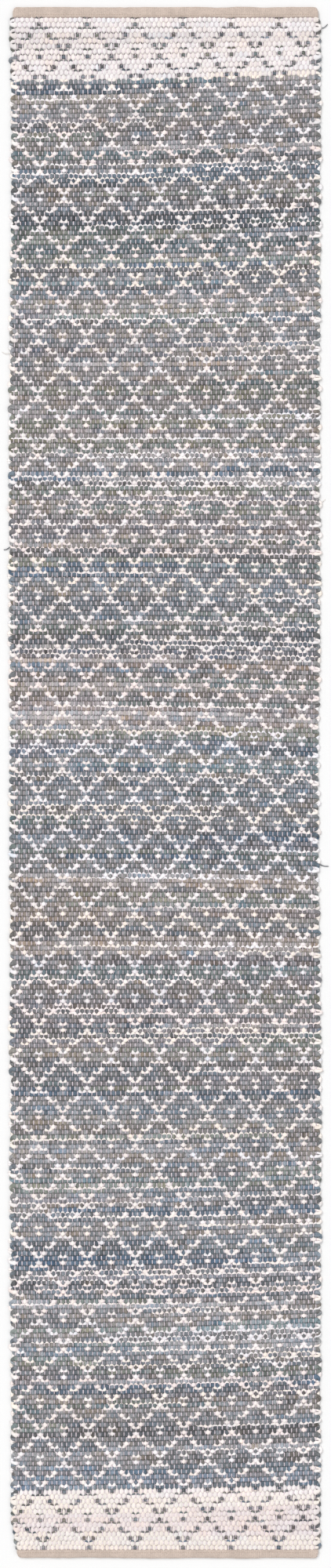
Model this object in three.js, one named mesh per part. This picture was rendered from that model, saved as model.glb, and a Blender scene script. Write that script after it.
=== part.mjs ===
// A weft-backed rag runner, 2 ft by 10 ft. Every row of its cloth holds two picks:
// a denim strip on one side of the warp and a white cotton strip on the other. The two
// swap sides in a short band at each end. Folded tape binds both ends of the cloth.
// X runs across the runner, Y along it and Z up. The origin is at the middle of the base.

import * as THREE from 'three';
import { mergeVertices } from 'three/addons/utils/BufferGeometryUtils.js';

// ---- Driving dimensions, in millimetres ----

const WIDTH = 610; // over both selvedges
const ROW_PITCH = 9.4; // one denim pick and one white pick
const OUTER_ROWS = 78; // rows of cloth in each outer quarter
const INNER_ROWS = 82; // rows in each inner quarter
const NEAR_BAND_ROWS = 13; // rows with the two wefts swapped, at the near end
const FAR_BAND_ROWS = 12; // and at the far end

const WEFT_LAYER = 3.2; // height of one layer of packed strips
const WARP_LAYER = 1.0; // height of the cotton warp between the two layers
const SELVEDGE_WIDTH = 8; // strip of turning weft loops outside the last warp end
const LOOP_DEPTH = 2.2; // how far the gap between two loops cuts into the edge
const LOOP_DROP = 0.5; // how much lower the loops stand than each face of the cloth

const BINDING_DEPTH = 20; // visible depth of the folded tape
const BINDING_INSET = 5; // how far each end of the tape stops inside the selvedge
const TAPE = 1.1; // thickness of the tape, hemmed double
const TAPE_CORNER = 2.2; // outer radius of the tape's two folds
const HEM_TUCK = 14; // length of pressed cloth held inside the tape
const STITCH_INSET = 4; // from the tape's inner edge to its line of stitches
const STITCH_WIDTH = 0.9; // thickness of the sewing thread across its line
const STITCH_RISE = 0.35; // how far the thread stands out of the tape
const STITCH_END = 6; // from the tape's end to the first stitch
const STITCH_GAP = 0.15; // between the thread and the tape that it is sewn through
const STITCH_SHELTER = 0.1; // how far the thread stays below the face of the cloth

const CLEARANCE = 0.3; // between pieces that touch
const FOLD_GAP = 0.6; // between two quarters, at a fold line
const CORNER_STEPS = 4; // flat steps in a quarter circle

// ---- Sizes that follow from them ----

const THICKNESS = 2 * WEFT_LAYER + WARP_LAYER + 2 * CLEARANCE;
const INNER_LENGTH = INNER_ROWS * ROW_PITCH;
const OUTER_LENGTH = OUTER_ROWS * ROW_PITCH;
const NEAR_BAND_LENGTH = NEAR_BAND_ROWS * ROW_PITCH;
const FAR_BAND_LENGTH = FAR_BAND_ROWS * ROW_PITCH;
const CLOTH_HALF_LENGTH = INNER_LENGTH + OUTER_LENGTH;
const HALF_WIDTH = WIDTH / 2;
const LAYER_HALF_WIDTH = HALF_WIDTH - SELVEDGE_WIDTH - CLEARANCE;
const WARP_BASE = WEFT_LAYER + CLEARANCE;
const FACE_BASE = WARP_BASE + WARP_LAYER + CLEARANCE;
const BINDING_HALF_WIDTH = HALF_WIDTH - BINDING_INSET;
const BINDING_DROP = STITCH_GAP + STITCH_RISE + STITCH_SHELTER;

// ---- Materials ----

const colours = {
  denim: 0x6f7d92,
  white_cotton: 0xece6df,
  warp: 0xd9cfc4,
  loops: 0xa9abb3,
  tape: 0xcdb8a2,
  thread: 0xb9a590,
};

function cloth(slot) {
  return new THREE.MeshStandardMaterial({ color: colours[slot], roughness: 0.95, metalness: 0 });
}

const runner = new THREE.Group();
runner.name = 'runner_rug';

function addPiece(name, geometry, slot) {
  const mesh = new THREE.Mesh(geometry, cloth(slot));
  mesh.name = name;
  runner.add(mesh);
  return mesh;
}

// ---- Shapes ----

// A flat layer between two distances along the runner and two heights.
function addLayer(name, slot, halfWidth, fromY, toY, fromZ, toZ) {
  const geometry = new THREE.BoxGeometry(2 * halfWidth, toY - fromY, toZ - fromZ);
  geometry.translate(0, (fromY + toY) / 2, (fromZ + toZ) / 2);
  return addPiece(name, geometry, slot);
}

// A strip of weft loops along one edge: one loop for every two rows, which is the
// distance a strip travels between leaving the cloth and coming back into it.
function addSelvedge(name, side, fromY, toY) {
  const loopPitch = 2 * ROW_PITCH;
  const loops = Math.max(1, Math.round((toY - fromY) / loopPitch));
  const pitch = (toY - fromY) / loops;
  const inner = side * (HALF_WIDTH - SELVEDGE_WIDTH);
  const outer = side * HALF_WIDTH;
  const valley = side * (HALF_WIDTH - LOOP_DEPTH);
  const outline = new THREE.Shape();
  outline.moveTo(inner, fromY);
  outline.lineTo(valley, fromY);
  for (let loop = 0; loop < loops; loop += 1) {
    const start = fromY + loop * pitch;
    outline.lineTo(outer, start + 0.3 * pitch);
    outline.lineTo(outer, start + 0.7 * pitch);
    outline.lineTo(valley, start + pitch);
  }
  outline.lineTo(inner, toY);
  outline.closePath();
  const height = THICKNESS - 2 * LOOP_DROP;
  const geometry = new THREE.ExtrudeGeometry(outline, { depth: height, bevelEnabled: false });
  geometry.translate(0, 0, LOOP_DROP);
  return addPiece(name, geometry, 'loops');
}

// The tape folded over the end of the cloth. Its section is drawn in (Y, Z), with the
// fold at the outer end, and extruded across the runner.
function addBinding(name, end) {
  const innerY = CLOTH_HALF_LENGTH + CLEARANCE;
  const outerY = CLOTH_HALF_LENGTH + BINDING_DEPTH;
  const low = BINDING_DROP;
  const high = THICKNESS - BINDING_DROP;
  const section = new THREE.Shape();
  section.moveTo(innerY, low);
  section.lineTo(outerY - TAPE_CORNER, low);
  section.absarc(outerY - TAPE_CORNER, low + TAPE_CORNER, TAPE_CORNER, -Math.PI / 2, 0, false);
  section.absarc(outerY - TAPE_CORNER, high - TAPE_CORNER, TAPE_CORNER, 0, Math.PI / 2, false);
  section.lineTo(innerY, high);
  section.lineTo(innerY, high - TAPE);
  section.lineTo(outerY - TAPE, high - TAPE);
  section.lineTo(outerY - TAPE, low + TAPE);
  section.lineTo(innerY, low + TAPE);
  section.closePath();
  const geometry = new THREE.ExtrudeGeometry(section, {
    depth: 2 * BINDING_HALF_WIDTH,
    curveSegments: CORNER_STEPS,
    bevelEnabled: false,
  });
  geometry.translate(0, 0, -BINDING_HALF_WIDTH);
  // The section's X and Y become the runner's Y and Z, and the depth runs along X.
  const turn = new THREE.Matrix4();
  turn.makeBasis(
    new THREE.Vector3(0, 1, 0),
    new THREE.Vector3(0, 0, 1),
    new THREE.Vector3(1, 0, 0),
  );
  geometry.applyMatrix4(turn);
  if (end < 0) {
    geometry.rotateZ(Math.PI);
  }
  return addPiece(name, mergedByPosition(geometry), 'tape');
}

function mergedByPosition(geometry) {
  geometry.deleteAttribute('normal');
  geometry.deleteAttribute('uv');
  const merged = mergeVertices(geometry, 1e-4);
  merged.computeVertexNormals();
  return merged;
}

// A box on the line of binding stitches, mirrored to the near end where end is -1.
function addStitchLine(name, end, fromZ, toZ) {
  const middle = end * (CLOTH_HALF_LENGTH + CLEARANCE + STITCH_INSET);
  const halfLength = BINDING_HALF_WIDTH - STITCH_END;
  const fromY = middle - STITCH_WIDTH / 2;
  const toY = middle + STITCH_WIDTH / 2;
  return addLayer(name, 'thread', halfLength, fromY, toY, fromZ, toZ);
}

// ---- The four quarters of the cloth, from the near end to the far end ----

const foldHalfGap = FOLD_GAP / 2;
const quarters = [
  { name: 'near_quarter', from: -CLOTH_HALF_LENGTH, to: -INNER_LENGTH - foldHalfGap },
  { name: 'near_middle', from: -INNER_LENGTH + foldHalfGap, to: -foldHalfGap },
  { name: 'far_middle', from: foldHalfGap, to: INNER_LENGTH - foldHalfGap },
  { name: 'far_quarter', from: INNER_LENGTH + foldHalfGap, to: CLOTH_HALF_LENGTH },
];

for (const quarter of quarters) {
  const { name, from, to } = quarter;
  addLayer(`${name}_warp`, 'warp', LAYER_HALF_WIDTH, from, to, WARP_BASE, WARP_BASE + WARP_LAYER);
  addSelvedge(`${name}_selvedge_left`, -1, from, to);
  addSelvedge(`${name}_selvedge_right`, 1, from, to);
  // The bands at the two ends take their own layers from the outer quarters.
  const fieldFrom = name === 'near_quarter' ? from + NEAR_BAND_LENGTH + CLEARANCE : from;
  const fieldTo = name === 'far_quarter' ? to - FAR_BAND_LENGTH - CLEARANCE : to;
  addLayer(`${name}_face_weft`, 'denim', LAYER_HALF_WIDTH, fieldFrom, fieldTo, FACE_BASE, THICKNESS);
  addLayer(`${name}_back_weft`, 'white_cotton', LAYER_HALF_WIDTH, fieldFrom, fieldTo, 0, WEFT_LAYER);
}

// ---- The two ends: swapped bands, pressed cloth, tape and stitches ----

const ends = [
  { name: 'near', end: -1, band: NEAR_BAND_LENGTH },
  { name: 'far', end: 1, band: FAR_BAND_LENGTH },
];

for (const { name, end, band } of ends) {
  const edge = end * CLOTH_HALF_LENGTH;
  const inside = end * (CLOTH_HALF_LENGTH - band);
  const bandFrom = Math.min(edge, inside);
  const bandTo = Math.max(edge, inside);
  addLayer(
    `${name}_band_face_weft`,
    'white_cotton',
    LAYER_HALF_WIDTH,
    bandFrom,
    bandTo,
    FACE_BASE,
    THICKNESS,
  );
  addLayer(`${name}_band_back_weft`, 'denim', LAYER_HALF_WIDTH, bandFrom, bandTo, 0, WEFT_LAYER);
  addBinding(`${name}_binding`, end);
  const tuckFrom = end * (CLOTH_HALF_LENGTH + CLEARANCE);
  const tuckTo = end * (CLOTH_HALF_LENGTH + CLEARANCE + HEM_TUCK);
  addLayer(
    `${name}_cloth_end`,
    'warp',
    BINDING_HALF_WIDTH - CLEARANCE,
    Math.min(tuckFrom, tuckTo),
    Math.max(tuckFrom, tuckTo),
    BINDING_DROP + TAPE + CLEARANCE,
    THICKNESS - BINDING_DROP - TAPE - CLEARANCE,
  );
  const faceBase = THICKNESS - BINDING_DROP + STITCH_GAP;
  addStitchLine(`${name}_stitches_face`, end, faceBase, faceBase + STITCH_RISE);
  addStitchLine(`${name}_stitches_back`, end, STITCH_SHELTER, STITCH_SHELTER + STITCH_RISE);
}

export default runner;
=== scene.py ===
"""The looks of the runner rug: its woven strips, warp, selvedge loops, taped ends and stitches.

Each strip and each warp end is a strand of its own, laid out from the weaving draft. Rows are
counted from the near end and warp ends from the left. Everything is in metres.
"""

import math

import bpy
import numpy as np
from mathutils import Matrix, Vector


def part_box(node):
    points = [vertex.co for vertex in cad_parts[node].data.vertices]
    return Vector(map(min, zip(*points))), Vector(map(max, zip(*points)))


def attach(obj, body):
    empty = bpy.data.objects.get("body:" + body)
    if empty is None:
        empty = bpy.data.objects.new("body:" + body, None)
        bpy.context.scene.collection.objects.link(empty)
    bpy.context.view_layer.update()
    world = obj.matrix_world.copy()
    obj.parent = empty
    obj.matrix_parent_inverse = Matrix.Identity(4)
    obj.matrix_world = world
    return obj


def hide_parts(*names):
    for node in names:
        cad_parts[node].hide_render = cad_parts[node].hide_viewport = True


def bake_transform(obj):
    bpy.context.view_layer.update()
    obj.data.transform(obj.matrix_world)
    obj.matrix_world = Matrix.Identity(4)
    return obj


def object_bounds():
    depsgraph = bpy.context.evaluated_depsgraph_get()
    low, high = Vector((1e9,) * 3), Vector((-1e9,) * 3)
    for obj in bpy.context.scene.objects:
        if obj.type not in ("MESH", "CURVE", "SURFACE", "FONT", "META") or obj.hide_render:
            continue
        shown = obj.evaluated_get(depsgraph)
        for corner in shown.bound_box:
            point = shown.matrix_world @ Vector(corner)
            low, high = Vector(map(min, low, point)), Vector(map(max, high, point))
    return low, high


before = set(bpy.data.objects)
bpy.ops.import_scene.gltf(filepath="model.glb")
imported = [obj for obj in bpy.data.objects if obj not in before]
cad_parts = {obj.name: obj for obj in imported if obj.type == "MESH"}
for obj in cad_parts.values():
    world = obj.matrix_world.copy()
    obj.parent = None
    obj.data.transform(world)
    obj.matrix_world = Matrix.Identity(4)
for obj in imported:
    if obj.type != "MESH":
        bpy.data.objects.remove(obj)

cad_low, cad_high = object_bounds()
MM = 0.001
random = np.random.default_rng(1971)

# ---- The cloth's own sizes ----

OUTER_ROWS = 78  # in each outer quarter
INNER_ROWS = 82  # in each inner quarter
ROWS = 2 * (OUTER_ROWS + INNER_ROWS)
NEAR_BAND_ROWS = 13
FAR_BAND_ROWS = 12
WARP_ENDS = 126
REPEAT_ENDS = 20  # warp ends from one diamond's middle to the next
REPEAT_ROWS = 12

NEAR_SEAM_DROP = 4.5 * MM  # how much less of the near tape shows: its cloth runs further in
cloth_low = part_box("near_quarter_warp")[0].y - NEAR_SEAM_DROP
cloth_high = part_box("far_quarter_warp")[1].y
ROW_PITCH = (cloth_high - cloth_low) / ROWS
WIDTH = cad_high.x - cad_low.x
THICKNESS = cad_high.z - cad_low.z
MIDDLE = THICKNESS / 2
WARP_PITCH = 4.72 * MM

# Where the lower weft comes up in each row of the repeat: the middle of each mark, as warp
# ends from the middle of a diamond. Even rows make one mark there, odd rows a pair beside it.
DRAFT = {
    0: (0, 10), 1: (8, 12), 2: (6, 14), 3: (4, 16), 4: (2, 18), 5: (0, 10),
    6: (0, 10), 7: (2, 18), 8: (4, 16), 9: (6, 14), 10: (8, 12), 11: (0, 10),
}
EDGE_MARKS = (10,)  # in the two rows next to each tape, where only the outlines show
SINGLE_REACH = 1.75  # warp ends from the middle of a single mark to where it ends
SINGLE_EASE = 0.75  # warp ends over which the two wefts swap there
PAIR_REACH = 2.05  # the same two for each mark of a pair
PAIR_EASE = 0.6
FIELD_START = 5  # draft row of the first field row below the far band
FAR_BAND_START = 11  # draft row of the far band's first row

DENIM_HALF_WIDTH = 5.6 * MM  # half of a strip's width where it rides over a warp end
COTTON_HALF_WIDTH = 7.2 * MM
DENIM_PINCH = 0.3  # share of its width that a strip loses under a warp end
COTTON_PINCH = 0.45
STRIP_HALF_HEIGHT = 1.7 * MM
CRUMPLE = 0.07  # spread of a strand's surface about its section, as a share of its size
LAYER_OFFSET = 1.55 * MM  # from the middle of the cloth to the middle of each weft
WAVE = 0.7 * MM  # how far both wefts rise and fall over and under the warp
PAIR_STEP = 2.2 * MM  # how far up the rug the lower weft moves in each mark of a pair
PAIR_SLANT = 1.5 * MM  # and how much further with each warp end from the mark's middle
CROSSING_STEP = 1.7 * MM  # how far each weft moves aside where the two change places
PEEK_STEP = 4.6 * MM  # how far up the rug the lower weft moves to show as a thin line
PEEK_RISE = 3.0 * MM  # and how far it comes up there
STATIONS_PER_END = 3
SIDES = 6  # of a strip's section
WARP_SIDES = 4
WARP_HALF_WIDTH = 0.98 * MM
WARP_HALF_HEIGHT = 0.6 * MM
WARP_REACH = 2.3 * MM  # from the middle of the cloth to a warp end on its face
WARP_STATION = 0.31  # of a row's pitch from its middle to each of a warp end's two stations
TURN_STEPS = 5  # stations on half of a selvedge loop
TURN_REACH = 7.8 * MM  # of a loop's middle line past the last warp end
TURN_SPREAD = 0.2  # how much that varies from loop to loop, as a share
LOWER_TURN = 1.06  # share of that reach for the loops of the lower weft
UPPER_TURN = 0.88
LOWER_LOOP_RISE = -0.1 * MM  # from the middle of the cloth to the loops of the lower weft
UPPER_LOOP_RISE = 0.4 * MM
LOWER_LOOP_HALF_WIDTH = 2.7 * MM
UPPER_LOOP_HALF_WIDTH = 2.4 * MM
LOOP_HALF_HEIGHT = 2.2 * MM
RIGHT_EASE = 0.7  # the loops on the right draw in sooner, from this share of the strip's size
HEM_TUCK = 9 * MM  # of warp inside the folded tape

FOLD_BLOCK = 24  # rows in the blocks that span a fold


def smooth(t):
    """Runs from 0 to 1 with a soft start and end, as t does."""
    t = np.clip(t, 0, 1)
    return t * t * (3 - 2 * t)


def linear(r, g, b):
    """A colour given in display values from 0 to 255, in the renderer's linear values."""
    c = np.array((r, g, b), float) / 255
    return np.where(c <= 0.04045, c / 12.92, ((c + 0.055) / 1.055) ** 2.4)


# ---- How the finished cloth differs from a square grid ----

SKEW_MEAN = -2.3 * MM  # how much lower the right edge lies than the left, on average
SKEW_SWING = 9.2 * MM  # and how far that swings along the rug
SKEW_WAVE = 0.85  # lengths of the rug in one swing
SKEW_PEAK = 0.47  # where the right edge lies lowest, as a share from the far end
SKEW_FADE = 90 * MM  # over which the rows come square to the tapes
BOW = 2.5 * MM  # how far the middle of a row lags behind its ends
BOW_WAVES = 1.3  # waves of that along the rug
SWAY = 1.5 * MM  # how far the whole cloth wanders sideways
SWAY_WAVES = 1.15
NARROWING = 0.004  # share of its width that the cloth gains and loses along the rug
NARROW_WAVES = 2.3
LEAN = -1.1 * MM  # and how far it lies to one side on average
CORNER_TAPER = 10 * MM  # how far the near left corner draws in
CORNER_LENGTH = 75 * MM


def drift(x, y):
    """Where a point of the square cloth lies once it is off the loom."""
    share = (y - cloth_low) / (cloth_high - cloth_low)
    to_end = np.minimum(share, 1 - share) * (cloth_high - cloth_low)
    fade = smooth(to_end / SKEW_FADE)
    skew = SKEW_MEAN + SKEW_SWING * np.cos(2 * math.pi * (1 - share - SKEW_PEAK) / SKEW_WAVE)
    across = x / WIDTH
    bow = BOW * (1 - 4 * across**2) * np.sin(2 * math.pi * (BOW_WAVES * share + 0.1))
    new_y = y - fade * (skew * across + bow)
    sway = SWAY * np.sin(2 * math.pi * SWAY_WAVES * share + 0.6) + 0.4 * SWAY * np.sin(23 * share)
    narrow = NARROWING * np.sin(2 * math.pi * NARROW_WAVES * share + 1.0)
    corner = CORNER_TAPER * smooth(1 - (y - cloth_low) / CORNER_LENGTH)
    corner = corner * smooth(-2.4 * across - 0.2)
    new_x = x * (1 - narrow) + LEAN + fade * sway + corner
    return new_x, new_y


# ---- Rows ----

row_number = np.arange(ROWS)
from_far_end = ROWS - 1 - row_number
draft_row = np.where(
    from_far_end < FAR_BAND_ROWS,
    from_far_end + FAR_BAND_START,
    from_far_end - FAR_BAND_ROWS + FIELD_START,
) % REPEAT_ROWS
in_band = (from_far_end < FAR_BAND_ROWS) | (row_number < NEAR_BAND_ROWS)

PACKING_SPREAD = 0.035  # how unevenly the rows are beaten up, as a share of their pitch
FAR_BAND_PACKING = 1.06  # the white strips of this band beat up less
TIGHT_PACKING = 0.985  # and the first rows of the field below it a little more
TIGHT_ROWS = 50

packing = 1 + PACKING_SPREAD * random.standard_normal(ROWS)
below_band = from_far_end - FAR_BAND_ROWS
packing[below_band < 0] *= FAR_BAND_PACKING
packing[(below_band >= 0) & (below_band < TIGHT_ROWS)] *= TIGHT_PACKING
row_edges = np.concatenate([[0], np.cumsum(packing)])
row_edges = cloth_low + row_edges / row_edges[-1] * (cloth_high - cloth_low)
row_y = (row_edges[:-1] + row_edges[1:]) / 2


def end_x(end):
    return (end - (WARP_ENDS - 1) / 2) * WARP_PITCH


# ---- Strands: tubes with a flat section that turn only in the plane of the rug ----


def strand_vertices(centre, heading, half_width, half_height, sides):
    """Rings of vertices: centre is (strand, station, 3) and the rest are (strand, station)."""
    angle = 2 * math.pi * np.arange(sides) / sides
    crumple = 1 + CRUMPLE * random.standard_normal((*heading.shape, sides))
    crumple[:, [0, -1]] = 1
    out = np.cos(angle) * crumple
    up = np.sin(angle) * crumple
    ring = np.repeat(centre[:, :, None, :], sides, axis=2)
    ring[..., 0] += (-np.sin(heading) * half_width)[..., None] * out
    ring[..., 1] += (np.cos(heading) * half_width)[..., None] * out
    ring[..., 2] += half_height[..., None] * up
    return ring


def strand_faces(strands, stations, sides):
    """(quads, the two end caps of each strand) as vertex numbers."""
    number = np.arange(strands * stations * sides).reshape(strands, stations, sides)
    around = np.roll(number, -1, axis=2)
    quads = np.stack([number[:, :-1], around[:, :-1], around[:, 1:], number[:, 1:]], axis=-1)
    caps = np.concatenate([number[:, 0, ::-1], number[:, -1]])
    return quads.reshape(-1, 4), caps


def strand_map(strands, stations, sides):
    """The face corners' places on a map where each strand has a strip of its own."""
    along = np.linspace(0.012, 0.988, stations)
    around = np.linspace(0.06, 0.94, sides + 1)
    strip = np.arange(strands)
    u = np.empty((strands, stations - 1, sides, 4))
    u[..., 0] = u[..., 1] = along[None, :-1, None]
    u[..., 2] = u[..., 3] = along[None, 1:, None]
    v = np.empty_like(u)
    v[..., 0] = v[..., 3] = around[None, None, :-1]
    v[..., 1] = v[..., 2] = around[None, None, 1:]
    v = (v + strip[:, None, None, None]) / strands
    angle = 2 * math.pi * np.arange(sides) / sides
    cap_u = np.stack([0.005 + 0.003 * np.cos(angle), 0.995 + 0.003 * np.cos(angle)])
    cap_u = np.repeat(cap_u, strands, axis=0)
    cap_v = (0.5 + 0.3 * np.sin(angle) + np.tile(strip, 2)[:, None]) / strands
    quads = np.stack([u, v], axis=-1).reshape(-1, 2)
    caps = np.stack([cap_u, cap_v], axis=-1).reshape(-1, 2)
    return np.concatenate([quads, caps])


def mesh_object(name, vertices, faces, colours=None, places=None):
    """A smooth mesh from groups of faces that each have the same number of corners."""
    mesh = bpy.data.meshes.new(name)
    corners = np.concatenate([group.ravel() for group in faces]).astype(np.int32)
    sizes = np.concatenate([np.full(len(group), group.shape[1]) for group in faces])
    starts = np.concatenate([[0], np.cumsum(sizes)[:-1]]).astype(np.int32)
    mesh.vertices.add(len(vertices))
    mesh.vertices.foreach_set("co", np.ascontiguousarray(vertices, np.float32).ravel())
    mesh.loops.add(len(corners))
    mesh.loops.foreach_set("vertex_index", corners)
    mesh.polygons.add(len(sizes))
    mesh.polygons.foreach_set("loop_start", starts)
    mesh.update(calc_edges=True)
    mesh.shade_smooth()
    if colours is not None:
        tint = mesh.color_attributes.new("Tint", "FLOAT_COLOR", "POINT")
        rgba = np.ones((len(vertices), 4), np.float32)
        rgba[:, :3] = colours
        tint.data.foreach_set("color", rgba.ravel())
    if places is not None:
        layer = mesh.uv_layers.new(name="OFBake")
        layer.uv.foreach_set("vector", places.astype(np.float32).ravel())
    made = bpy.data.objects.new(name, mesh)
    bpy.context.scene.collection.objects.link(made)
    return made


def strands_object(name, centre, heading, half_width, half_height, colours, sides):
    strands, stations = heading.shape
    rings = strand_vertices(centre, heading, half_width, half_height, sides)
    quads, caps = strand_faces(strands, stations, sides)
    tints = np.repeat(colours[:, :, None, :], sides, axis=2).reshape(-1, 3)
    places = strand_map(strands, stations, sides)
    return mesh_object(name, rings.reshape(-1, 3), [quads, caps], tints, places)


# ---- Colours of the strips ----

DENIMS = np.array([
    linear(140, 141, 143), linear(125, 132, 138), linear(123, 124, 126), linear(145, 142, 140),
    linear(139, 137, 141), linear(122, 133, 135), linear(160, 161, 164), linear(106, 119, 132),
    linear(136, 141, 135), linear(154, 152, 148),
])
DENIM_SHARES = np.array([0.2, 0.1, 0.12, 0.13, 0.1, 0.06, 0.08, 0.05, 0.1, 0.06])
COTTONS = np.array([
    linear(247, 239, 236), linear(249, 243, 242), linear(248, 236, 233), linear(243, 240, 243),
    linear(250, 241, 233),
])
COTTON_SHARES = np.array([0.35, 0.25, 0.14, 0.16, 0.1])
DENIM_LENGTH = 0.45  # mean length of weft between two changes of cloth
COTTON_LENGTH = 1.4
DENIM_PAINTED_SHADE = (0.8, 1.0)  # painted shade on the denim: darker in the two bands, where it shows only in the shaded gaps between the cotton strips, than in the field
# how pale the cotton weft is in the two bands and in the field
COTTON_SHADES = (0.99, 1.09)
# Runs of rows cut from the same cloth, counted from the far end: the first and last row,
# how much paler (or, below 0, darker) and how much bluer they are than the rest.
RUNS = [
    (12, 30, -0.08, 0.0), (31, 34, -0.3, 0.16), (40, 44, -0.34, 0.12), (46, 59, 0.08, 0.02),
    (60, 69, 0.05, 0.03), (70, 90, 0.07, -0.04), (96, 112, -0.04, 0.0), (114, 126, 0.0, 0.05),
    (128, 133, -0.3, 0.05), (134, 150, 0.1, -0.06), (151, 178, -0.09, 0.07),
    (179, 195, 0.04, -0.06), (196, 224, -0.11, 0.0), (225, 252, 0.05, 0.02),
    (254, 261, -0.12, 0.1), (262, 270, -0.04, 0.05), (271, 279, 0.12, 0.02),
    (280, 302, -0.09, 0.02), (303, 307, 0.0, 0.15),
]
RUN_EASE = 1.5  # rows over which a run begins or ends
WARP_COLOUR = linear(233, 219, 227)
TAPE_COLOUR = linear(213, 195, 183)
THREAD_COLOUR = linear(196, 176, 158)


def strip_colours(palette, shares, mean_length, x, direction, unevenness):
    """The colour at each station of a weft that runs to and fro through all the rows.
    unevenness is the spread of the shades of its lengths of cloth."""
    travelled = np.where(direction[:, None] > 0, x + WIDTH / 2, WIDTH / 2 - x)
    travelled = travelled + row_number[:, None] * WIDTH
    total = ROWS * WIDTH
    count = int(2.5 * total / mean_length)
    lengths = mean_length * random.gamma(2.2, 1 / 2.2, count)
    starts = np.cumsum(lengths)
    pick = random.choice(len(palette), count + 1, p=shares)
    shade = 1 + unevenness * random.standard_normal(count + 1)
    chosen = np.searchsorted(starts, travelled)
    return palette[pick[chosen]] * shade[chosen][..., None]


def wandering(rows, stations, scale):
    """Smooth random values along each row, with a spread of about 1."""
    knots = int(stations / scale) + 3
    values = random.standard_normal((rows, knots))
    place = np.arange(stations) / scale
    low = place.astype(int)
    t = smooth(place - low)
    return values[:, low] * (1 - t) + values[:, low + 1] * t


# ---- The two wefts ----

straight = (WARP_ENDS - 1) * STATIONS_PER_END + 1
place = np.arange(straight) / STATIONS_PER_END  # in warp ends from the left


def mark_states():
    """For each row and station: how far the two wefts have swapped, how far they lie side by
    side, and the distance in warp ends from the middle of the nearest mark."""
    nearest = np.full((ROWS, straight), float(REPEAT_ENDS))
    for row in range(ROWS):
        outermost = row in (0, 1, ROWS - 2, ROWS - 1)
        for middle in EDGE_MARKS if outermost else DRAFT[draft_row[row]]:
            away = (place - middle + REPEAT_ENDS / 2) % REPEAT_ENDS - REPEAT_ENDS / 2
            nearest[row] = np.minimum(nearest[row], np.abs(away))
    single = (draft_row % 2 == 0)[:, None]
    swapped = np.where(single, np.clip((SINGLE_REACH - nearest) / SINGLE_EASE, 0, 1), 0)
    beside = np.where(single, 0, np.clip((PAIR_REACH - nearest) / PAIR_EASE, 0, 1))
    return swapped, beside, nearest


# Here the cloth is beaten less evenly, and the lower weft shows as a thin line in more of the
# rows: the first and last row of each stretch, counted from the far end.
LINED_ROWS = [
    (14, 45), (68, 72), (82, 92), (96, 112), (126, 136), (190, 194), (207, 214), (244, 252),
    (260, 282),
]
LINED_SHARE = 0.52  # of the rows in these stretches show a line
OTHER_SHARE = 0.15  # of the other rows
LINE_EASE = 6  # warp ends over which a line begins or ends


def peeking():
    """Where the lower weft shows as a thin line between two rows of the face."""
    amount = np.zeros((ROWS, straight))
    for row in np.flatnonzero(~in_band):
        lined = any(first <= from_far_end[row] <= last for first, last in LINED_ROWS)
        if random.random() < (LINED_SHARE if lined else OTHER_SHARE):
            start = random.uniform(-0.5, 0.8) * WARP_ENDS
            stop = start + random.uniform(0.3, 1.3) * WARP_ENDS
            begun = smooth((place - start) / LINE_EASE)
            amount[row] = begun * smooth((stop - place) / LINE_EASE)
    return amount * np.clip(0.85 + 0.2 * wandering(ROWS, straight, 4), 0.3, 1.1)


swapped, beside, nearest = mark_states()
peek = peeking() * (1 - swapped) * (1 - beside)
over = np.cos(math.pi * (place[None, :] + draft_row[:, None]))  # 1 over a warp end, -1 under it
crossing = np.sin(math.pi * swapped)


def weft_paths(lower, widest, pinch):
    """Stations of one weft across the straight part of each row: x, y, z, half width, half
    height. The upper weft is the one that covers the face, and lower is True for the other."""
    side = -1.0 if lower else 1.0
    # Side by side, both lie in the upper layer, and the lower weft stands a little higher.
    level = side * (1 - 2 * swapped) * (1 - beside) + beside * (1.15 if lower else 0.85)
    y = row_y[:, None] + 0.25 * MM * wandering(ROWS, straight, 4)
    y = y + 0.45 * MM * wandering(ROWS, straight, 30)
    z = MIDDLE + WAVE * over + LAYER_OFFSET * level + 0.12 * MM * wandering(ROWS, straight, 2)
    # 1 where the weft passes over a warp end on its own side of the cloth, and -1 under one.
    rides = over if not lower else over * (2 * (swapped + beside) - 1)
    width = widest * (1 - pinch * (1 - rides) / 2) * (1 + 0.06 * wandering(ROWS, straight, 2))
    height = STRIP_HALF_HEIGHT * (0.86 + 0.14 * over)
    if lower:
        y = y + beside * (PAIR_STEP + PAIR_SLANT * nearest)
        y = y + CROSSING_STEP * crossing + 0.5 * MM * swapped + PEEK_STEP * peek
        z = z + PEEK_RISE * peek
        plump = 1 + 0.14 * wandering(ROWS, straight, 5) + 0.45 * in_band[:, None]
        width = width * (1 - 0.46 * beside * plump) * (1 - 0.3 * swapped * plump)
        width = width * (1 - 0.56 * peek) * (1 - 0.35 * np.sin(math.pi * beside))
        height = height * (1 - 0.2 * beside)
    else:
        y = y - CROSSING_STEP * crossing - (1.6 * beside + 1.2 * swapped + 0.5 * peek) * MM
        width = width * (1 - 0.16 * beside) * (1 - 0.1 * peek)
    x = np.repeat(end_x(place)[None, :], ROWS, axis=0)
    return x, y, z, width, height


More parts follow.
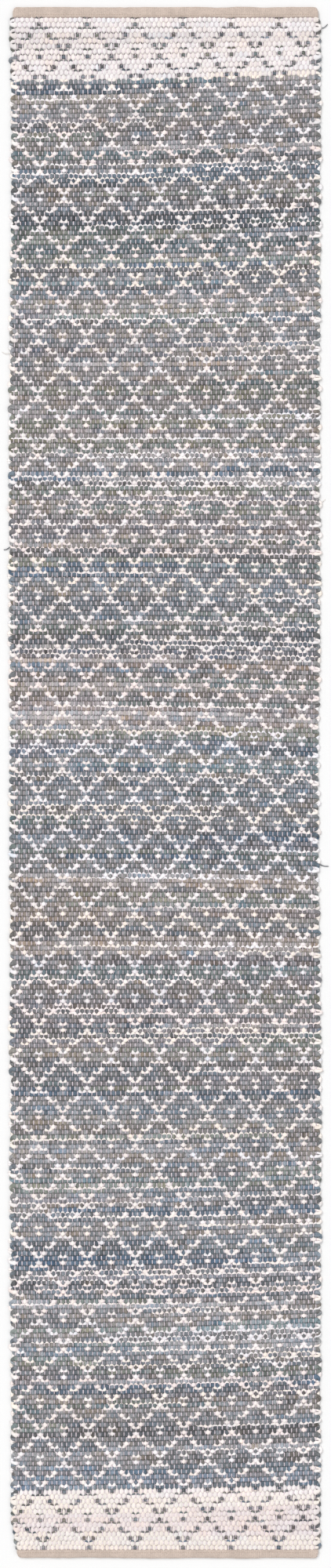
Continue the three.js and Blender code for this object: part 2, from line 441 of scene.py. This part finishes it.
def turn(side, towards, y_edge, lower):
    """Half of a selvedge loop on one side, from the cloth to the loop's outer middle:
    x, y and heading at each station. towards is 1, -1 or, for a cut end, 0."""
    reach = TURN_REACH * (1 + TURN_SPREAD * random.standard_normal(ROWS))
    reach = reach * (LOWER_TURN if lower else UPPER_TURN)
    reach = np.clip(reach, 0.6 * TURN_REACH, 1.5 * TURN_REACH)
    # Both halves of a loop reach equally far: they share the lower row's number.
    partner = np.clip(row_number + np.where(towards < 0, -1, 0), 0, ROWS - 1)
    reach = reach[partner]
    neighbour = np.clip(row_number + towards, 0, ROWS - 1)
    middle_y = (y_edge + y_edge[neighbour]) / 2
    angle = np.arange(1, TURN_STEPS + 1) / TURN_STEPS * math.pi / 2
    last = end_x(0 if side < 0 else WARP_ENDS - 1)
    x = last + side * reach[:, None] * np.sin(angle)[None, :]
    y = middle_y[:, None] + (y_edge - middle_y)[:, None] * np.cos(angle)[None, :]
    heading = side * towards[:, None] * angle[None, :]
    return x, y, heading


def cut_at_ends(towards):
    """0 instead of 1 or -1 where the next row that way is past an end of the cloth."""
    neighbour = row_number + towards
    return np.where((neighbour < 0) | (neighbour >= ROWS), 0, towards)


def whole_weft(lower, way, widest, pinch):
    """Every row of one weft, from the outer middle of its left loop to that of its right loop.
    way is 1 for a row woven to the right and -1 for one woven to the left."""
    x, y, z, width, height = weft_paths(lower, widest, pinch)
    right_turn = cut_at_ends(way)
    left_turn = cut_at_ends(-way)
    left = turn(-1, left_turn, y[:, 0], lower)
    right = turn(1, right_turn, y[:, -1], lower)
    whole_x = np.concatenate([left[0][:, ::-1], x, right[0]], axis=1)
    whole_y = np.concatenate([left[1][:, ::-1], y, right[1]], axis=1)
    heading = np.concatenate([left[2][:, ::-1], np.zeros_like(x), right[2]], axis=1)
    ease = np.linspace(1, 0, TURN_STEPS + 1)[:-1]
    loop_z = MIDDLE + (LOWER_LOOP_RISE if lower else UPPER_LOOP_RISE)
    loop_width = LOWER_LOOP_HALF_WIDTH if lower else UPPER_LOOP_HALF_WIDTH

    def with_turns(values, loop_value):
        at_left = loop_value + (values[:, :1] - loop_value) * (1 - ease)[None, :]
        at_right = loop_value + (values[:, -1:] - loop_value) * ease[None, :] * RIGHT_EASE
        return np.concatenate([at_left, values, at_right], axis=1)

    whole_z = with_turns(z, loop_z)
    whole_width = with_turns(width, loop_width)
    whole_height = with_turns(height, LOOP_HALF_HEIGHT)
    whole_x, whole_y = drift(whole_x, whole_y)
    centre = np.stack([whole_x, whole_y, whole_z], axis=-1)
    return centre, heading, whole_width, whole_height


PALE_RUN = 4  # stations that turn to a paler side together
PALE_MIX = 0.45  # how much of the paler colour shows there


def speckle(colours, strength, cast, pale, share):
    """Shades each bump a little differently, lets the tint wander from warm to cool along the
    strip, and turns a share of the bumps to a paler side."""
    rows, stations = colours.shape[:2]
    warmth = cast * wandering(rows, stations, 16)
    colours = colours * np.stack([1 + warmth, np.ones_like(warmth), 1 - warmth], axis=-1)
    shade = 1 + strength * wandering(rows, stations, 2)
    turned = random.random((rows, stations // PALE_RUN + 1)) < share
    turned = np.repeat(turned, PALE_RUN, axis=1)[:, :stations]
    mixed = colours * np.clip(shade, 0.4, 1.7)[..., None]
    return np.where(turned[..., None], mixed * (1 - PALE_MIX) + pale * PALE_MIX, mixed)


def in_runs(colours):
    """Makes each run of rows paler or darker and bluer or warmer, with ragged ends."""
    rows, stations = colours.shape[:2]
    place_from_far = from_far_end[:, None] + 0.9 * wandering(rows, stations, 50)
    shade = np.ones((rows, stations))
    blue = np.zeros((rows, stations))
    for first, last, paler, bluer in RUNS:
        begun = smooth((place_from_far - first + 1) / RUN_EASE)
        inside = begun * smooth((last + 1 - place_from_far) / RUN_EASE)
        shade += paler * inside
        blue += bluer * inside
    cast = np.stack([1 - blue, 1 + 0.1 * blue, 1 + blue], axis=-1)
    return colours * shade[..., None] * cast


denim_way = np.where(row_number % 2 == 0, 1, -1)
cotton_way = -denim_way


def chosen_rows(band, field):
    """Takes each row's values from band in the two bands and from field elsewhere."""
    pick = in_band.reshape(-1, *([1] * (band.ndim - 1)))
    return np.where(pick, band, field)


# Denim covers the face in the field and lies below in the bands; the cotton is its opposite.
denim = [
    chosen_rows(band, field)
    for band, field in zip(
        whole_weft(True, denim_way, DENIM_HALF_WIDTH, DENIM_PINCH),
        whole_weft(False, denim_way, DENIM_HALF_WIDTH, DENIM_PINCH),
    )
]
cotton = [
    chosen_rows(band, field)
    for band, field in zip(
        whole_weft(False, cotton_way, COTTON_HALF_WIDTH, COTTON_PINCH),
        whole_weft(True, cotton_way, COTTON_HALF_WIDTH, COTTON_PINCH),
    )
]
denim_tint = speckle(
    strip_colours(DENIMS, DENIM_SHARES, DENIM_LENGTH, denim[0][..., 0], denim_way, 0.12),
    strength=0.19, cast=0.07, pale=linear(186, 188, 194), share=0.16,
)
cotton_tint = speckle(
    strip_colours(COTTONS, COTTON_SHARES, COTTON_LENGTH, cotton[0][..., 0], cotton_way, 0.03),
    strength=0.04, cast=0.02, pale=linear(250, 246, 240), share=0.1,
)
cotton_tint = cotton_tint * np.where(in_band, *COTTON_SHADES)[:, None, None]
# Painted shade: the denim in the bands is darkened because it shows only in the shaded gaps
# between the cotton strips.
denim_tint = in_runs(denim_tint) * np.where(in_band, *DENIM_PAINTED_SHADE)[:, None, None]

# ---- The warp ----


def warp_paths():
    """Each warp end from the near tape to the far one, with two stations on every row."""
    offsets = np.array([-WARP_STATION, WARP_STATION])
    y = (row_y[:, None] + offsets[None, :] * ROW_PITCH).ravel()
    row_of = np.repeat(row_number, 2)
    ends = np.arange(WARP_ENDS)
    above = np.where((ends[:, None] + draft_row[row_of][None, :]) % 2 == 1, 1.0, -1.0)
    x = end_x(ends)[:, None] + 0.25 * MM * wandering(WARP_ENDS, len(y), 4)
    z = MIDDLE + WARP_REACH * above
    y = np.repeat(y[None, :], WARP_ENDS, axis=0)
    width = np.full_like(x, WARP_HALF_WIDTH) * (1 + 0.08 * wandering(WARP_ENDS, y.shape[1], 3))
    return x, y, z, width


warp_x, warp_y, warp_z, warp_width = warp_paths()


def tucked_in(values, at_near, at_far):
    """Adds one station inside each tape."""
    near = np.full((WARP_ENDS, 1), at_near) if np.isscalar(at_near) else at_near[:, None]
    far = np.full((WARP_ENDS, 1), at_far) if np.isscalar(at_far) else at_far[:, None]
    return np.concatenate([near, values, far], axis=1)


warp_x, warp_y = drift(warp_x, warp_y)
warp_x = tucked_in(warp_x, warp_x[:, 0], warp_x[:, -1])
warp_y = tucked_in(warp_y, cloth_low - HEM_TUCK, cloth_high + HEM_TUCK)
warp_z = tucked_in(warp_z, MIDDLE, MIDDLE)
warp_width = tucked_in(warp_width, WARP_HALF_WIDTH, WARP_HALF_WIDTH)
warp_shade = 1 + 0.05 * random.standard_normal((WARP_ENDS, 1))
warp_shade = warp_shade + 0.13 * wandering(WARP_ENDS, warp_x.shape[1], 2)
warp_tint = WARP_COLOUR * np.clip(warp_shade, 0.5, 1.12)[..., None]

# ---- Materials ----


def material(name, roughness, sheen):
    made = bpy.data.materials.new(name)
    made.use_nodes = True
    shader = made.node_tree.nodes["Principled BSDF"]
    shader.inputs["Roughness"].default_value = roughness
    shader.inputs["Sheen Weight"].default_value = sheen
    shader.inputs["Sheen Roughness"].default_value = 0.5
    shader.inputs["Specular IOR Level"].default_value = 0.2
    return made, made.node_tree, shader


def node(tree, kind, **settings):
    made = tree.nodes.new(kind)
    for key, value in settings.items():
        setattr(made, key, value)
    return made


def noise(tree, vector, scale, detail=3.0, roughness=0.6):
    made = node(tree, "ShaderNodeTexNoise")
    made.inputs["Scale"].default_value = scale
    made.inputs["Detail"].default_value = detail
    made.inputs["Roughness"].default_value = roughness
    tree.links.new(vector, made.inputs["Vector"])
    return made.outputs["Fac"]


def ranged(tree, value, low, high):
    """Maps 0 to 1 onto low to high."""
    made = node(tree, "ShaderNodeMapRange")
    made.inputs["From Min"].default_value = 0.25
    made.inputs["From Max"].default_value = 0.75
    made.inputs["To Min"].default_value = low
    made.inputs["To Max"].default_value = high
    tree.links.new(value, made.inputs["Value"])
    return made.outputs["Result"]


def stretched(tree, vector, scale):
    made = node(tree, "ShaderNodeMapping")
    made.inputs["Scale"].default_value = scale
    tree.links.new(vector, made.inputs["Vector"])
    return made.outputs["Vector"]


def times(tree, colour, factor):
    """A colour brightened or darkened by a grey factor."""
    made = node(tree, "ShaderNodeVectorMath", operation="SCALE")
    tree.links.new(colour, made.inputs["Vector"])
    tree.links.new(factor, made.inputs["Scale"])
    return made.outputs["Vector"]


def bumped(tree, shader, height, distance, strength=1.0):
    made = node(tree, "ShaderNodeBump")
    made.inputs["Distance"].default_value = distance
    made.inputs["Strength"].default_value = strength
    tree.links.new(height, made.inputs["Height"])
    tree.links.new(made.outputs["Normal"], shader.inputs["Normal"])


def strip_material(name, roughness, sheen, fleck_low, fleck_high, thread_scale, thread_low):
    """A cut cloth strip: flecked along its length, with fine threads and frayed folds."""
    made, tree, shader = material(name, roughness, sheen)
    tint = node(tree, "ShaderNodeAttribute", attribute_name="Tint").outputs["Color"]
    at = node(tree, "ShaderNodeTexCoord").outputs["Object"]
    flecks = noise(tree, stretched(tree, at, (1.0, 0.6, 1.0)), 420, 4.0, 0.75)
    fleck = ranged(tree, flecks, fleck_low, fleck_high)
    threads = noise(tree, stretched(tree, at, (1.0, 0.18, 1.0)), thread_scale)
    thread = ranged(tree, threads, thread_low, 1.06)
    shaded = times(tree, times(tree, tint, fleck), thread)
    tree.links.new(shaded, shader.inputs["Base Color"])
    folds = noise(tree, stretched(tree, at, (0.25, 1.0, 1.0)), 620, 3.0, 0.65)
    bumped(tree, shader, folds, 0.9 * MM, 0.8)
    return made


def yarn_material(name, roughness, sheen, depth):
    """A plied cotton yarn."""
    made, tree, shader = material(name, roughness, sheen)
    tint = node(tree, "ShaderNodeAttribute", attribute_name="Tint").outputs["Color"]
    at = node(tree, "ShaderNodeTexCoord").outputs["Object"]
    ply = ranged(tree, noise(tree, at, 700, 2.0), 1 - depth, 1.04)
    tree.links.new(times(tree, tint, ply), shader.inputs["Base Color"])
    return made


denim_material = strip_material(
    "denim_strip", 0.92, 0.15, fleck_low=0.5, fleck_high=1.5, thread_scale=1500, thread_low=0.84
)
cotton_material = strip_material(
    "white_cotton_strip", 0.95, 0.25, fleck_low=0.9, fleck_high=1.06, thread_scale=1200,
    thread_low=0.93,
)
warp_material = yarn_material("cotton_warp", 0.9, 0.2, depth=0.15)
thread_material = yarn_material("sewing_thread", 0.7, 0.1, depth=0.2)


def tape_material():
    """Ribbed cotton tape: cross ribs in bump, and in colour as painted shade that darkens the
    grooves between them, with a washed unevenness.
    """
    made, tree, shader = material("binding_tape", 0.85, 0.2)
    tint = node(tree, "ShaderNodeAttribute", attribute_name="Tint").outputs["Color"]
    at = node(tree, "ShaderNodeTexCoord").outputs["Object"]
    rib = node(tree, "ShaderNodeTexWave", wave_type="BANDS", bands_direction="X")
    rib.inputs["Scale"].default_value = 125.0  # a rib every 2.5 mm
    rib.inputs["Distortion"].default_value = 1.5
    rib.inputs["Detail"].default_value = 1.0
    rib.inputs["Detail Scale"].default_value = 40.0
    tree.links.new(at, rib.inputs["Vector"])
    # painted shade: the colour darkens where the rib bump is low, in the grooves between the ribs
    rib_groove_shade = ranged(tree, rib.outputs["Fac"], 0.9, 1.03)
    wash = ranged(tree, noise(tree, at, 60, 4.0), 0.86, 1.1)
    grain = ranged(tree, noise(tree, at, 420, 3.0), 0.78, 1.14)
    shaded = times(tree, times(tree, times(tree, tint, rib_groove_shade), wash), grain)
    tree.links.new(shaded, shader.inputs["Base Color"])
    bumped(tree, shader, rib.outputs["Fac"], 0.25 * MM, 0.6)
    return made


tape_cloth = tape_material()

# ---- Blocks: the rows are shared out so that each fold falls in the middle of a block ----


def block_edges():
    """The rows where the blocks of strips begin and end, from the near end."""
    half = FOLD_BLOCK // 2
    near_fold = OUTER_ROWS
    centre_fold = OUTER_ROWS + INNER_ROWS
    far_fold = OUTER_ROWS + 2 * INNER_ROWS
    edges = [*np.linspace(0, near_fold - half, 4).astype(int)]
    edges += [*np.linspace(near_fold + half, centre_fold - half, 3).astype(int)]
    edges += [*np.linspace(centre_fold + half, far_fold - half, 3).astype(int)]
    edges += [*np.linspace(far_fold + half, ROWS, 4).astype(int)]
    return edges


QUARTERS = ["near_quarter", "near_middle", "far_middle", "far_quarter"]
HALF_FOLD_GAP = 0.3 * MM  # from the end of a quarter to the fold's own line
fold_y = [
    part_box("near_middle_warp")[0].y - HALF_FOLD_GAP,
    0.0,
    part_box("far_middle_warp")[1].y + HALF_FOLD_GAP,
]
fold_row = [OUTER_ROWS, OUTER_ROWS + INNER_ROWS, OUTER_ROWS + 2 * INNER_ROWS]


def fasten(piece, first, last):
    """Rides a block of rows on its quarter; a block that spans a fold is left unattached, with
    its placement baked into its mesh.
    """
    for fold in range(3):
        if first < fold_row[fold] < last:
            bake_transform(piece)
            return
    quarter = int(np.searchsorted(fold_row, (first + last) / 2))
    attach(piece, QUARTERS[quarter])


def block_name(kind, number):
    return f"{kind}_{number:02d}"


def add_block(kind, block, paths, tint, finish):
    """One block of rows of a weft; block is its number, its first row and the next block's."""
    number, first, last = block
    centre, heading, width, height = (a[first:last] for a in paths)
    name = block_name(kind, number)
    piece = strands_object(name, centre, heading, width, height, tint[first:last], SIDES)
    piece.data.materials.append(finish)
    fasten(piece, first, last)
    return piece


edges = block_edges()
for number, (first, last) in enumerate(zip(edges[:-1], edges[1:]), 1):
    block = (number, first, last)
    add_block("denim_weft", block, denim, denim_tint, denim_material)
    add_block("cotton_weft", block, cotton, cotton_tint, cotton_material)

# The warp is parted only beside the blocks that span a fold.
half_block = FOLD_BLOCK // 2
warp_edges = [0]
for row in fold_row:
    warp_edges += [row - half_block, row + half_block]
warp_edges.append(ROWS)
for number, (first, last) in enumerate(zip(warp_edges[:-1], warp_edges[1:]), 1):
    low = 0 if first == 0 else 1 + 2 * first
    high = warp_x.shape[1] if last == ROWS else 2 + 2 * last
    cut = (slice(None), slice(low, high))
    centre = np.stack([warp_x[cut], warp_y[cut], warp_z[cut]], axis=-1)
    heading = np.full(warp_x[cut].shape, math.pi / 2)
    height = np.full(warp_x[cut].shape, WARP_HALF_HEIGHT)
    name = block_name("warp", number)
    width = warp_width[cut]
    piece = strands_object(name, centre, heading, width, height, warp_tint[cut], WARP_SIDES)
    piece.data.materials.append(warp_material)
    fasten(piece, first, last)

# ---- The folded tapes ----

TAPE_THICKNESS = 1.1 * MM
TAPE_STEP = 2.5 * MM
TAPE_END_RADIUS = 9 * MM  # of the tape's rounded ends, seen from above
TAPE_FOLD_STEPS = 6
TAPE_LEG_STEPS = 4
TAPE_LIP = 1.2 * MM  # how far the tape's lips reach over the edge of the cloth
TAPE_CORNER = 0.8 * CORNER_TAPER  # how much shorter the near tape is on the left
TIP_SQUEEZE = 0.35  # share of its thickness that the folded tape loses at its tips


def tape_section(depth, low, high):
    """The tape's middle line from its lower lip round the fold to its upper lip, as
    (distance past the cloth, height), with the normals that thicken it."""
    radius = (high - low) / 2
    middle = (high + low) / 2
    points = []
    for t in np.linspace(0, 1, TAPE_LEG_STEPS + 1)[:-1]:
        points.append((t * (depth - radius), low, 0.0, -1.0))
    for t in np.linspace(-0.5, 0.5, TAPE_FOLD_STEPS + 1):
        c, s = math.cos(t * math.pi), math.sin(t * math.pi)
        points.append((depth - radius + radius * c, middle + radius * s, c, s))
    for t in np.linspace(1, 0, TAPE_LEG_STEPS + 1)[1:]:
        points.append((t * (depth - radius), high, 0.0, 1.0))
    return np.array(points)


def add_tape(name, end, box, body):
    low_box, high_box = box
    edge = cloth_low if end < 0 else cloth_high
    outer = abs((low_box.y if end < 0 else high_box.y) - edge)
    left, right = low_box.x, high_box.x
    if end < 0:
        left += TAPE_CORNER
    stations = int((right - left) / TAPE_STEP) + 1
    x = np.linspace(left, right, stations)
    to_tip = np.minimum(x - left, right - x)
    inside = np.clip(1 - to_tip / TAPE_END_RADIUS, 0, 1)
    rounding = TAPE_END_RADIUS * (1 - np.sqrt(1 - inside**2))
    wobble = 0.5 * MM * wandering(1, stations, 18)[0] + 0.2 * MM * wandering(1, stations, 4)[0]
    lip = TAPE_LIP + 0.5 * MM * wandering(1, stations, 7)[0]
    half = TAPE_THICKNESS / 2
    low, high = low_box.z + half, high_box.z - half
    rings = []
    for i in range(stations):
        depth = outer - half - rounding[i] + wobble[i]
        section = tape_section(depth + lip[i], low, high)
        flat = section[:, :2] + half * section[:, 2:]
        inner = section[:, :2] - half * section[:, 2:]
        ring = np.concatenate([flat, inner[::-1]])
        squeeze = 1 - TIP_SQUEEZE * inside[i]
        y = edge + end * (ring[:, 0] - lip[i])
        z = MIDDLE + (ring[:, 1] - MIDDLE) * squeeze
        rings.append(np.stack([np.full(len(ring), x[i]), y, z], axis=1))
    rings = np.array(rings)[None]
    sides = rings.shape[2]
    quads, caps = strand_faces(1, stations, sides)
    if end > 0:
        quads, caps = quads[:, ::-1], caps[:, ::-1]
    places = strand_map(1, stations, sides)
    if end > 0:
        quad_places = places[: len(quads) * 4].reshape(-1, 4, 2)[:, ::-1]
        cap_places = places[len(quads) * 4 :].reshape(2, sides, 2)[:, ::-1]
        places = np.concatenate([quad_places.reshape(-1, 2), cap_places.reshape(-1, 2)])
    tint = np.repeat(TAPE_COLOUR[None], stations * sides, axis=0)
    piece = mesh_object(name, rings.reshape(-1, 3), [quads, caps], tint, places)
    piece.data.materials.append(tape_cloth)
    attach(piece, body)
    return piece


near_tape = add_tape("near_tape", -1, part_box("near_binding"), "near_quarter")
far_tape = add_tape("far_tape", 1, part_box("far_binding"), "far_quarter")

# ---- Stitches through the tapes ----

STITCH_PITCH = 5.0 * MM
STITCH_LENGTH = 3.4 * MM
STITCH_HALF_WIDTH = 0.45 * MM
STITCH_STATIONS = 5


def add_stitches(name, box, shift, body, upper):
    low, high = box
    count = int((high.x - low.x - 2 * CORNER_TAPER) / STITCH_PITCH)
    first = -(count - 1) / 2 * STITCH_PITCH
    middle_y = (low.y + high.y) / 2 + shift
    t = np.linspace(-1, 1, STITCH_STATIONS)
    start = first + np.arange(count) * STITCH_PITCH
    x = start[:, None] + 0.5 * STITCH_LENGTH * t[None, :]
    slant = 0.25 * MM * random.standard_normal(count)
    y = middle_y + slant[:, None] * t[None, :] + 0.5 * MM * wandering(1, count, 9)[0][:, None]
    rise = 0.35 * MM * (1 - t**2)[None, :] - 0.25 * MM
    seat = low.z if upper else high.z
    z = seat + (1 if upper else -1) * np.repeat(rise, count, axis=0)
    width = STITCH_HALF_WIDTH * np.sqrt(1.05 - t**2)[None, :] * np.ones((count, 1))
    tint = np.tile(THREAD_COLOUR, (count, STITCH_STATIONS, 1))
    centre = np.stack([x, y, z], axis=-1)
    heading = np.zeros_like(x)
    piece = strands_object(name, centre, heading, width, width * 0.8, tint, SIDES)
    piece.data.materials.append(thread_material)
    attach(piece, body)
    return piece


for where, shift, body in (("near", -NEAR_SEAM_DROP, "near_quarter"), ("far", 0, "far_quarter")):
    for face in ("face", "back"):
        cad_name = f"{where}_stitches_{face}"
        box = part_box(cad_name)
        piece = add_stitches(f"{where}_lockstitch_{face}", box, shift, body, face == "face")
        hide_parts(cad_name)

# ---- Loose thread ends at the selvedges ----

# Side, place along the rug, length, how far its tip bends along the rug, and its weft.
LOOSE_ENDS = [
    (1, -0.159, 0.021, -0.004, "denim"),
    (-1, 0.845, 0.016, 0.003, "cotton"),
    (-1, 0.460, 0.012, -0.005, "denim"),
    (1, 0.551, 0.012, 0.006, "cotton"),
    (1, 1.480, 0.017, 0.009, "denim"),
]
LOOSE_STATIONS = 9


def add_loose_end(number, side, along, length, bend, weft):
    t = np.linspace(0, 1, LOOSE_STATIONS)
    root_x, root_y = drift(np.array(side * (WIDTH / 2 - 7 * MM)), np.array(along))
    x = root_x + side * (length + 5 * MM) * t
    y = root_y + bend * t**2 + 0.0012 * np.sin(7 * t)
    z = MIDDLE + (1.6 * MM - MIDDLE) * smooth(t * 1.4)
    heading = np.arctan2(np.gradient(y), np.gradient(x))
    thick = (1.1 if weft == "denim" else 0.8) * MM * (1 - 0.3 * t)
    colour = linear(104, 106, 112) if weft == "denim" else linear(238, 232, 226)
    tint = np.repeat(colour[None, None], LOOSE_STATIONS, axis=1)
    centre = np.stack([x, y, z], axis=-1)[None]
    thick = thick[None]
    name = f"loose_end_{number}"
    piece = strands_object(name, centre, heading[None], thick, 0.8 * thick, tint, SIDES)
    piece.data.materials.append(warp_material)
    quarter = int(np.searchsorted(fold_y, along))
    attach(piece, QUARTERS[quarter])


for number, loose_end in enumerate(LOOSE_ENDS, 1):
    add_loose_end(number, *loose_end)

# ---- Hiding the CAD parts that the new pieces replace ----

for quarter, name in enumerate(QUARTERS):
    first = 0 if quarter == 0 else fold_row[quarter - 1]
    last = ROWS if quarter == 3 else fold_row[quarter]
    for number, (low, high) in enumerate(zip(edges[:-1], edges[1:])):
        if low < last and high > first:
            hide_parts(f"{name}_face_weft", f"{name}_selvedge_left")
            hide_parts(f"{name}_back_weft", f"{name}_selvedge_right")
    for number, (low, high) in enumerate(zip(warp_edges[:-1], warp_edges[1:])):
        if low < last and high > first:
            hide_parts(f"{name}_warp")
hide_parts("near_band_face_weft")
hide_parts("near_band_back_weft")
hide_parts("far_band_face_weft")
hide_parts("far_band_back_weft")
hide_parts("near_cloth_end")
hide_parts("far_cloth_end")
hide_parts("near_binding")
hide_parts("far_binding")

# ---- Floor, light and camera ----


def add_floor():
    size = 40.0
    corners = np.array([(-size, -size, 0), (size, -size, 0), (size, size, 0), (-size, size, 0)])
    floor = mesh_object("floor", corners, [np.array([[0, 1, 2, 3]])])
    made, tree, shader = material("floor_paint", 0.9, 0.0)
    shader.inputs["Base Color"].default_value = (0.93, 0.93, 0.93, 1)
    floor.data.materials.append(made)
    floor.location.z = -0.4 * MM


def add_soft_light(name, towards, strength, softness):
    """A broad, distant lamp, which lights the whole length of the rug evenly."""
    lamp = bpy.data.lights.new(name, "SUN")
    lamp.energy = strength
    lamp.angle = math.radians(softness)
    made = bpy.data.objects.new(name, lamp)
    made.location = towards
    aim = -made.location
    made.rotation_euler = aim.to_track_quat("-Z", "Y").to_euler()
    bpy.context.scene.collection.objects.link(made)


def add_world():
    world = bpy.data.worlds.new("studio")
    world.use_nodes = True
    background = world.node_tree.nodes["Background"]
    background.inputs["Color"].default_value = (1.0, 1.0, 1.0, 1)
    background.inputs["Strength"].default_value = 0.55
    bpy.context.scene.world = world


SHARE_OF_PICTURE = 0.9895  # how much of the picture's height the rug takes
CAMERA_HEIGHT = 9.0
CAMERA_OFFSET = -0.003  # the rug lies a little above the middle of the picture


def add_camera():
    """Straight above the rug, with its length upright in the picture."""
    seen = (cad_high.y - cad_low.y) / SHARE_OF_PICTURE
    data = bpy.data.cameras.new("camera")
    data.sensor_width = 36.0
    data.lens = data.sensor_width * (CAMERA_HEIGHT - THICKNESS) / seen
    camera = bpy.data.objects.new("camera", data)
    camera.location = (0, CAMERA_OFFSET, CAMERA_HEIGHT)
    bpy.context.scene.collection.objects.link(camera)
    bpy.context.scene.camera = camera


add_floor()
add_world()
add_soft_light("key_light", (-1.6, 2.0, 4.0), strength=1.45, softness=40)
add_soft_light("fill_light", (2.4, -1.6, 3.6), strength=0.5, softness=60)
add_camera()
bpy.context.scene.view_settings.view_transform = "Standard"
